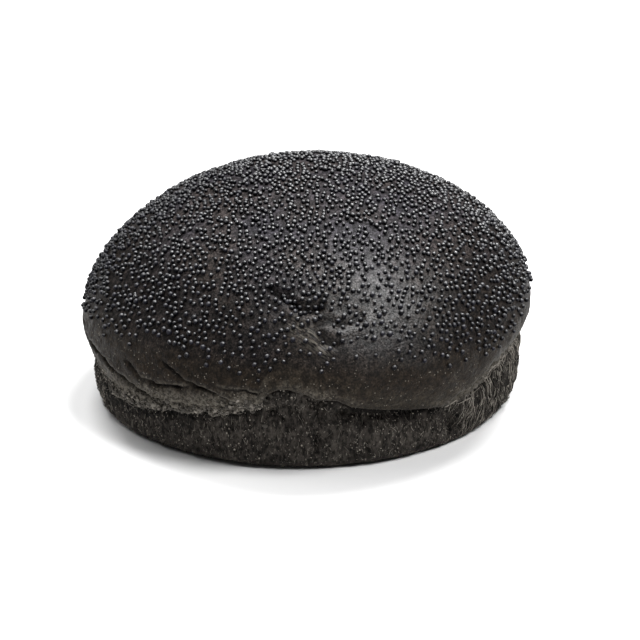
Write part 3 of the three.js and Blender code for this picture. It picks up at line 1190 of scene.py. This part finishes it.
@dataclass
class PoppySeeds:
    """The poppy seeds baked on the crown.

    The bare places are given by bearing, height, half width and the share of the seeds that they lack.
    """

    form: BunForm
    length: float = 1.19
    width: float = 1.05
    thickness: float = 1.02
    sunk: float = 0.2
    spacing: float = 1.04
    darts: int = 46000
    seed: int = 11
    jitter: float = 0.045
    lowest: float = 19.0
    skirt_top: float = 28.5
    skirt_radius: float = 47.0
    bare: tuple[tuple[float, float, float, float], ...] = (
        (1, 34.8, 4.0, 0.85),
        (28, 39.5, 9.0, 0.42),
        (13, 34.0, 5.0, 0.45),
        (-17, 37.5, 5.0, 0.35),
    )

    def edge(self, bearing: Array) -> Array:
        """The height of the lowest seeds at a bearing."""
        level = 25.6 + 2.0 * cosine(bearing) + 1.2 * sine(bearing * 5 + 20)
        return level - swelling((Wave(-72, 24, 4.2), Wave(40, 20, 2.4)), bearing)

    def share_kept(self, bearing: Array, points: Array) -> Array:
        """How many of the closely strewn seeds stay at each place, from 0 to 1.

        Args:
            bearing: the bearing of each place.
            points: the places.

        Returns:
            One share for each place.
        """
        height = points[..., 2]
        above = height - self.edge(bearing) + 1.6 * dough_noise(points, 7, 61)
        thin_band = 9 + 4 * bell(turn_between(bearing, -40), 30)
        kept = 0.82 * smooth(-1.5, thin_band, above) ** 0.8
        clumps = np.clip(1.0 + 0.6 * dough_noise(points, 2.6, 62) + 0.4 * dough_noise(points, 7, 63), 0, 1)
        kept = kept * (0.5 + 0.5 * clumps)
        for bare_bearing, bare_height, size, share in self.bare:
            away = points - self.form.crust(np.array(float(bare_bearing)), np.array(bare_height))
            kept = kept * (1 - share * bell(np.linalg.norm(away, axis=-1), size))
        return kept

    def strewn(self, crust: bpy.types.Object, rng: np.random.Generator) -> tuple[Array, Array]:
        """Strews seeds over the crust so that no two lie in one place.

        Args:
            crust: the crown's crust.
            rng: the random source.

        Returns:
            The seeds' places and the crust's outward directions there.
        """
        points, normals = strewn_places(crust, self.darts, rng, self.on_top)
        share = np.maximum(self.share_kept(bearing_of(points), points), 1e-3)
        room = np.minimum(0.92 * self.spacing / np.sqrt(share), 1.9)
        keeps = rng.random(self.darts) < share * (room / self.spacing) ** 2
        room = np.maximum(room * rng.uniform(0.75, 1.2, self.darts), self.spacing)
        taken: dict[tuple[int, int, int], list[int]] = {}
        landed = []
        cells = np.floor(points / room.max()).astype(int).tolist()
        steps = list(itertools.product((-1, 0, 1), repeat=3))
        for index, (x, y, z) in enumerate(cells):
            near = [other for i, j, k in steps for other in taken.get((x + i, y + j, z + k), ())]
            away = np.linalg.norm(points[near] - points[index], axis=1)
            if np.all(away > np.maximum(self.spacing, 0.5 * (room[near] + room[index]))):
                taken.setdefault((x, y, z), []).append(index)
                landed.append(index)
        kept = [index for index in landed if keeps[index]]
        return points[kept], normals[kept]

    def on_top(self, points: Array) -> Array:
        """One on the outside of the crown, zero under the seeds and on the crown's hidden inner side."""
        inner_radius = np.where(points[:, 2] < self.skirt_top, self.skirt_radius, 0)
        return (np.hypot(points[:, 0], points[:, 1]) > inner_radius) * (points[:, 2] > self.lowest)

    def build(self, crust: bpy.types.Object) -> bpy.types.Object:
        """Makes all the seeds as one piece, lying on the crust."""
        stencil = Stencil.ball(6, 4, (self.length, self.width, self.thickness))
        rng = np.random.default_rng(self.seed)
        points, normals = self.strewn(crust, rng)
        count = len(points)
        axes = settled_axes(normals, rng.uniform(0, math.tau, count))
        tilt = rng.normal(0, 0.22, (count, 1, 3))
        axes = axes + np.cross(tilt, axes)
        size = rng.normal(1, 0.1, count).clip(0.75, 1.28)
        lift = self.thickness * (0.5 - rng.uniform(self.sunk - 0.2, self.sunk + 0.2, count))
        shapes = uneven_shapes(stencil, axes, size, self.jitter, rng)
        copies = (points + normals * lift[:, None])[:, None, :] + shapes
        crest = smooth(0.1, 0.6, shapes[..., 2] / np.linalg.norm(shapes, axis=-1))
        hazy = 1 - 0.45 * smooth(0, -25, points[:, 0]) * smooth(-30, 5, points[:, 1])
        shine = hazy * (0.7 + 0.3 * smooth(34, 50, points[:, 2])) * rng.uniform(0.6, 1.1, count)
        crest = crest * shine[:, None]
        return joined_copies("poppy_seeds", stencil, copies, tint=rng.random(count) ** 2, crest=crest)


# Torn bits


@dataclass
class TornStrands:
    """Fibres drawn out of the torn side, mostly upright, and hairs that run along the torn rim."""

    side: TornSide
    rim: Array
    fibres: int = 5200
    hairs: int = 130
    seed: int = 23

    def build(self) -> bpy.types.Object:
        """Makes all the strands as one piece."""
        rng = np.random.default_rng(self.seed)
        stencil = Stencil.ball(3, 7, (2, 2, 2))
        fibres, fibre_tints = self.upright(stencil, rng)
        hairs, hair_tints = self.along_rim(stencil, rng)
        copies, tints = np.concatenate([fibres, hairs]), np.concatenate([fibre_tints, hair_tints])
        return joined_copies("torn_strands", stencil, copies, tint=tints)

    def upright(self, stencil: Stencil, rng: np.random.Generator) -> tuple[Array, Array]:
        """Places the fibres on the torn side.

        Args:
            stencil: a ball of radius 1, which is drawn out between its poles.
            rng: the random source.

        Returns:
            Where the stencil's points lie for each fibre, and each fibre's tint.
        """
        count, form = self.fibres, self.side.form
        bearing = rng.uniform(-180, 180, 3 * count)
        chance = 0.5 + self.side.strands(bearing)
        bearing = rng.choice(bearing, count, replace=False, p=chance / chance.sum())
        drawn = self.side.strands(bearing)
        top = form.rim_height(bearing) - 0.7 + 1.1 * drawn
        middle = 0.8 + (top - 0.8) * rng.random(count)
        length = rng.lognormal(0.0, 0.45, count).clip(0.35, 3.0) * (1 + 4.5 * drawn * rng.random(count))
        lean = rng.normal(0, 0.5, count) * (1 - 0.65 * drawn)
        lean += 0.3 * drawn * sine(bearing * 6 + 170)
        bow = rng.normal(0, 0.13, count) * length * (1 - 0.4 * drawn)
        along = stencil.points[:, 2][None, :]
        height = middle[:, None] + 0.5 * (length * np.cos(lean))[:, None] * along
        height = np.clip(height, 0.25, top[:, None])
        sideways = 0.5 * (length * np.sin(lean))[:, None] * along + bow[:, None] * (1 - along**2)
        turned = bearing[:, None] + np.degrees(sideways / form.wall_radius)
        places, outward = self.side.torn_face(turned, height)
        thick = rng.uniform(0.055, 0.115, count) * (1 - 0.2 * drawn)
        raised = thick * rng.uniform(0.2, 1.4, count)
        arch = rng.exponential(0.07, count).clip(0, 0.3)
        across = around(turned + 90, 1, 0 * turned)
        out = raised[:, None] + arch[:, None] * (1 - along**2) + thick[:, None] * stencil.points[:, 1]
        wide = thick[:, None] * stencil.points[:, 0]
        seen = 1 - 0.45 * smooth(80, 100, np.abs(bearing))
        tints = rng.random(count) ** (2.4 + 0.8 * drawn) * (0.6 + 0.35 * drawn) * seen
        return places + outward * out[..., None] + across * wide[..., None], tints

    def along_rim(self, stencil: Stencil, rng: np.random.Generator) -> tuple[Array, Array]:
        """Places the hairs along the crown's torn rim.

        Args:
            stencil: a ball of radius 1, which is drawn out between its poles.
            rng: the random source.

        Returns:
            Where the stencil's points lie for each hair, and each hair's tint.
        """
        count = self.hairs
        right = rng.random(count) < 0.7
        bearing = np.where(right, rng.normal(70, 13, count).clip(40, 100), rng.uniform(-72, -14, count))
        length = rng.uniform(1.5, 7, count)
        along = stencil.points[:, 2][None, :]
        turned = bearing[:, None] + np.degrees(0.5 * length[:, None] * along / self.side.form.radius)
        drop = rng.normal(0.1, 0.4, count)[:, None] + rng.normal(0, 0.4, count)[:, None] * along
        sag = rng.normal(0, 0.3, count)[:, None] * (1 - along**2)
        thick = rng.uniform(0.04, 0.07, count)[:, None]
        order = np.argsort(bearing_of(self.rim))
        radius, level = (
            np.interp(turned, bearing_of(self.rim)[order], part[order], period=360)
            for part in (np.hypot(self.rim[:, 0], self.rim[:, 1]), self.rim[:, 2])
        )
        out = thick * stencil.points[:, 0] + rng.uniform(-0.15, 0.2, count)[:, None]
        places = around(turned, radius + out, level - drop + sag + thick * stencil.points[:, 1])
        return places, 0.25 + 0.6 * rng.random(count)


@dataclass
class RimFlakes:
    """Flakes and small torn lumps at the crown's ragged rim and in the corner of the lifted mouth."""

    crown: Crown
    count: int = 1900
    seed: int = 31
    jitter: float = 0.22

    def thickness(self, points: Array) -> Array:
        """How thickly the flakes lie at places on the crust."""
        form = self.crown.form
        bearing = bearing_of(points)
        above = points[:, 2] - form.rim_height(bearing)
        outside = np.hypot(points[:, 0], points[:, 1]) > form.wall_radius - 1
        along = self.crown.ragged(bearing) ** 1.5 * bell(above - 0.4, 0.9)
        along = along * (1 + bell(turn_between(bearing, -58), 12))
        corner = 3 * bell(turn_between(bearing, -14.3), 1.7) * bell(points[:, 2] - 18.2, 1.0)
        return (along + corner) * outside

    def build(self, crust: bpy.types.Object) -> bpy.types.Object:
        """Makes all the flakes as one piece."""
        rng = np.random.default_rng(self.seed)
        stencil = Stencil.ball(6, 4, (1, 0.75, 0.42))
        points, normals = strewn_places(crust, self.count, rng, self.thickness)
        axes = settled_axes(normals, rng.uniform(0, math.tau, self.count))
        axes = axes + np.cross(rng.normal(0, 0.5, (self.count, 1, 3)), axes)
        size = rng.lognormal(-0.55, 0.38, self.count).clip(0.25, 1.3)
        shapes = uneven_shapes(stencil, axes, size, self.jitter, rng)
        copies = (points + normals * 0.1)[:, None, :] + shapes
        return joined_copies("rim_flakes", stencil, copies, tint=0.05 + 0.42 * rng.random(self.count) ** 2)


@dataclass
class TornCrumbs:
    """Tiny crumbs: pale specks on the torn side, and darker lumps in the lifted mouth."""

    side: TornSide
    specks: int = 4200
    lumps: int = 90
    seed: int = 37
    jitter: float = 0.18

    def build(self, wall: bpy.types.Object) -> bpy.types.Object:
        """Makes all the crumbs as one piece."""
        rng = np.random.default_rng(self.seed)
        stencil = Stencil.ball(5, 4, (1, 0.85, 0.7))
        count = self.specks + self.lumps
        specks = strewn_places(wall, self.specks, rng, self.outside)
        lumps = strewn_places(wall, self.lumps, rng, self.in_mouth)
        points, normals = (np.concatenate(pair) for pair in zip(specks, lumps))
        size = np.concatenate([
            rng.lognormal(-1.45, 0.35, self.specks).clip(0.12, 0.5),
            rng.lognormal(0.0, 0.35, self.lumps).clip(0.6, 1.7),
        ])
        axes = settled_axes(normals, rng.uniform(0, math.tau, count))
        shapes = uneven_shapes(stencil, axes, size, self.jitter, rng)
        lift = np.where(np.arange(count) < self.specks, 0.15, -0.12)
        copies = (points + normals * (lift * size)[:, None])[:, None, :] + shapes
        tints = np.concatenate([rng.random(self.specks) ** 1.5, 0.03 + 0.1 * rng.random(self.lumps)])
        return joined_copies("torn_crumbs", stencil, copies, tint=tints)

    def outside(self, points: Array) -> Array:
        """Zero on the underside and in the closed groove, one on the side."""
        below_rim = points[:, 2] < self.side.form.rim_height(bearing_of(points)) + 0.5
        return (points[:, 2] > 0.7) * below_rim * 1.0

    def in_mouth(self, points: Array) -> Array:
        """How thickly the lumps lie in the mouth that the lifted crust leaves open."""
        form = self.side.form
        bearing = bearing_of(points)
        lifted = (form.rim_height(bearing) - form.closed_rim(bearing)) / 8
        below = form.rim_height(bearing) + 0.8 - points[:, 2]
        return lifted**1.5 * (below > 0) * bell(below - 2.5, 3.0)


# Floor, light and camera


@dataclass(frozen=True)
class Softbox:
    """A wide soft light: its strength, how wide it looks from the bun, and a direction towards it."""

    name: str
    strength: float
    angle: float
    source: Triple

    def build(self) -> None:
        """Makes the light."""
        data = bpy.data.lights.new(self.name, "SUN")
        data.energy = self.strength
        data.angle = math.radians(self.angle)
        light = bpy.data.objects.new(self.name, data)
        light.rotation_mode = "QUATERNION"
        light.rotation_quaternion = Vector(self.source).to_track_quat("Z", "Y")
        bpy.context.collection.objects.link(light)


@dataclass(frozen=True)
class Studio:
    """A white floor, soft lights high on the right, on the left and behind, and the camera."""

    softboxes: tuple[Softbox, ...] = (
        Softbox("right_softbox", 3.25, 22, (0.45, -0.29, 0.84)),
        Softbox("back_right_softbox", 3.3, 20, (0.24, 0.36, 0.90)),
        Softbox("back_left_softbox", 2.6, 20, (-0.18, 0.38, 0.91)),
        Softbox("left_softbox", 1.2, 40, (-0.46, -0.05, 0.88)),
    )
    room_light: float = 0.07
    floor_shade: float = 0.74
    elevation: float = 23.0
    distance: float = 900.0
    aim: Triple = (0.8, 0.5, 25.0)
    pixels_per_mm: float = 4.185
    image: int = 640
    aim_pixel: tuple[float, float] = (310.9, 291.0)
    sensor: float = 36.0
    floor_size: float = 12.0

    def camera(self) -> None:
        """Makes the camera at the photograph's viewing angle."""
        data = bpy.data.cameras.new("studio_camera")
        data.sensor_width = self.sensor
        data.lens = self.sensor * self.distance * self.pixels_per_mm / self.image
        half = self.image / 2
        data.shift_x = (half - self.aim_pixel[0]) / self.image
        data.shift_y = (self.aim_pixel[1] - half) / self.image
        data.clip_end = 100
        camera = bpy.data.objects.new("studio_camera", data)
        tilt = math.radians(self.elevation)
        back = Vector((0, -math.cos(tilt), math.sin(tilt)))
        camera.location = (Vector(self.aim) + back * self.distance) * MM
        camera.rotation_euler = (math.pi / 2 - tilt, 0, 0)
        bpy.context.collection.objects.link(camera)
        bpy.context.scene.camera = camera

    def floor(self) -> None:
        """Makes the white floor."""
        bpy.ops.mesh.primitive_plane_add(size=self.floor_size, location=(0, 0, 0))
        floor = bpy.context.object
        floor.name = "studio_floor"
        white = (self.floor_shade,) * 3
        floor.data.materials.append(NodeSketch("white_floor").finish(white, 0.6, Specular_IOR_Level=0.1))
        deselect_all()

    def build(self) -> None:
        """Sets up the whole studio."""
        scene = bpy.context.scene
        scene.view_settings.view_transform = "Standard"
        world = bpy.data.worlds.new("white_studio")
        world.use_nodes = True
        background = world.node_tree.nodes["Background"]
        background.inputs["Color"].default_value = (1, 1, 1, 1)
        background.inputs["Strength"].default_value = self.room_light
        scene.world = world
        self.floor()
        for softbox in self.softboxes:
            softbox.build()
        self.camera()


def main() -> None:
    """Builds the bun and its studio."""
    logging.basicConfig(level=logging.INFO, format="%(name)s %(message)s")
    deselect_all()
    form = BunForm()
    Studio().build()
    crown, side = Crown(form), TornSide(form)
    crust = crown.build()
    place_on_bun(crust, CrustFinish())
    wall = side.build()
    place_on_bun(wall, TornFinish())
    place_on_bun(PoppySeeds(form).build(crust), SeedFinish())
    place_on_bun(TornStrands(side, crown.rim).build(), FrayFinish())
    place_on_bun(RimFlakes(crown).build(crust), FrayFinish())
    place_on_bun(TornCrumbs(side).build(wall), FrayFinish())


if __name__ == "__main__":
    main()
